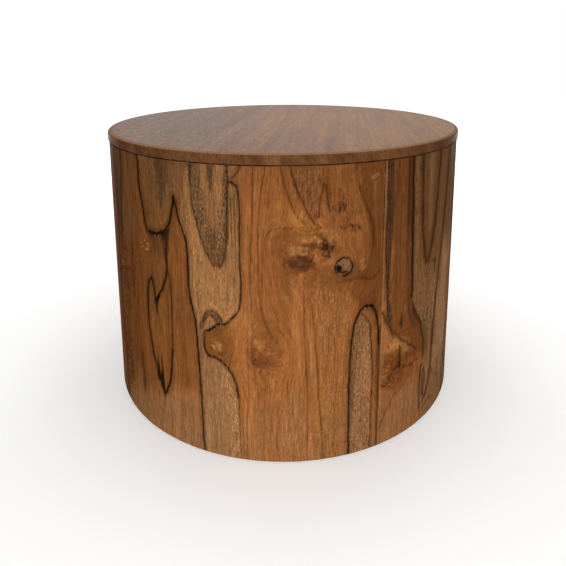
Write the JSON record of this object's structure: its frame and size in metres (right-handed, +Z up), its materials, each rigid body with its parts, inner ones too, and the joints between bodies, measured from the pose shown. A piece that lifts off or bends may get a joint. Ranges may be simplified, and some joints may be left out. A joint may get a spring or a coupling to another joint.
{
  "type": "drum side table",
  "caption": "Round drum side table: veneered cylinder under a flat lipped top with a shadow gap, hollow and ribbed inside, on screw-levelling glide feet.",
  "frame": {"origin": "centre of the drum at floor level, under the levelling pads", "axes": "+Z up along the drum's axis, front (the side in the picture) towards -Y, +X to the right seen from the front"},
  "size_m": [0.6099, 0.61, 0.45],
  "materials": {
    "teak_face": "satin",
    "teak_lipping": "satin",
    "teak_side": "satin",
    "backing_veneer": "matt",
    "fibreboard": "matt",
    "ring_plywood": "matt",
    "bending_plywood": "matt",
    "softwood": "matt",
    "zinc_steel": "zinc plated",
    "nylon": "matt"
  },
  "bodies": {
    "table": {"top_leaf_1": "teak_face", "top_leaf_2": "teak_face", "top_leaf_3": "teak_face", "top_leaf_4": "teak_face", "top_lipping": "teak_lipping", "side_leaf_front": "teak_side", "side_leaf_right": "teak_side", "side_leaf_back": "teak_side", "side_leaf_left": "teak_side", "top_back_veneer": "backing_veneer", "top_core": "fibreboard", "top_ring_front": "ring_plywood", "top_ring_right": "ring_plywood", "top_ring_back": "ring_plywood", "top_ring_left": "ring_plywood", "middle_ring_front": "ring_plywood", "middle_ring_right": "ring_plywood", "middle_ring_back": "ring_plywood", "middle_ring_left": "ring_plywood", "bottom_ring_front": "ring_plywood", "bottom_ring_right": "ring_plywood", "bottom_ring_back": "ring_plywood", "bottom_ring_left": "ring_plywood", "inner_skin_front": "bending_plywood", "inner_skin_back": "bending_plywood", "outer_skin_right": "bending_plywood", "outer_skin_left": "bending_plywood", "stringer_1": "softwood", "stringer_2": "softwood", "stringer_3": "softwood", "stringer_4": "softwood", "stringer_5": "softwood", "stringer_6": "softwood", "stringer_7": "softwood", "stringer_8": "softwood", "top_screws": "zinc_steel", "threaded_inserts": "zinc_steel"},
    "pad_1": {"glide_pad_1": "nylon"},
    "screw_1": {"levelling_screw_1": "zinc_steel"},
    "pad_2": {"glide_pad_2": "nylon"},
    "screw_2": {"levelling_screw_2": "zinc_steel"},
    "pad_3": {"glide_pad_3": "nylon"},
    "screw_3": {"levelling_screw_3": "zinc_steel"},
    "pad_4": {"glide_pad_4": "nylon"},
    "screw_4": {"levelling_screw_4": "zinc_steel"}
  },
  "joints": [
    {"name": "foot_1_travel", "type": "slide", "parent": "table", "child": "pad_1", "axis": [0, 0, -1], "range_m": [0, 0.012]},
    {"name": "foot_1_turn", "type": "hinge", "parent": "pad_1", "child": "screw_1", "pos_m": [0.10202, -0.24631, 0], "axis": [0, 0, -1], "range_deg": [0, 3456]},
    {"name": "foot_2_travel", "type": "slide", "parent": "table", "child": "pad_2", "axis": [0, 0, -1], "range_m": [0, 0.012]},
    {"name": "foot_2_turn", "type": "hinge", "parent": "pad_2", "child": "screw_2", "pos_m": [0.24631, 0.10202, 0], "axis": [0, 0, -1], "range_deg": [0, 3456]},
    {"name": "foot_3_travel", "type": "slide", "parent": "table", "child": "pad_3", "axis": [0, 0, -1], "range_m": [0, 0.012]},
    {"name": "foot_3_turn", "type": "hinge", "parent": "pad_3", "child": "screw_3", "pos_m": [-0.10202, 0.24631, 0], "axis": [0, 0, -1], "range_deg": [0, 3456]},
    {"name": "foot_4_travel", "type": "slide", "parent": "table", "child": "pad_4", "axis": [0, 0, -1], "range_m": [0, 0.012]},
    {"name": "foot_4_turn", "type": "hinge", "parent": "pad_4", "child": "screw_4", "pos_m": [-0.24631, -0.10202, 0], "axis": [0, 0, -1], "range_deg": [0, 3456]}
  ],
  "couplings": [
    {"joint": "foot_1_turn", "follows": "foot_1_travel", "rad_per_m": 5026.5},
    {"joint": "foot_2_turn", "follows": "foot_2_travel", "rad_per_m": 5026.5},
    {"joint": "foot_3_turn", "follows": "foot_3_travel", "rad_per_m": 5026.5},
    {"joint": "foot_4_turn", "follows": "foot_4_travel", "rad_per_m": 5026.5}
  ]
}
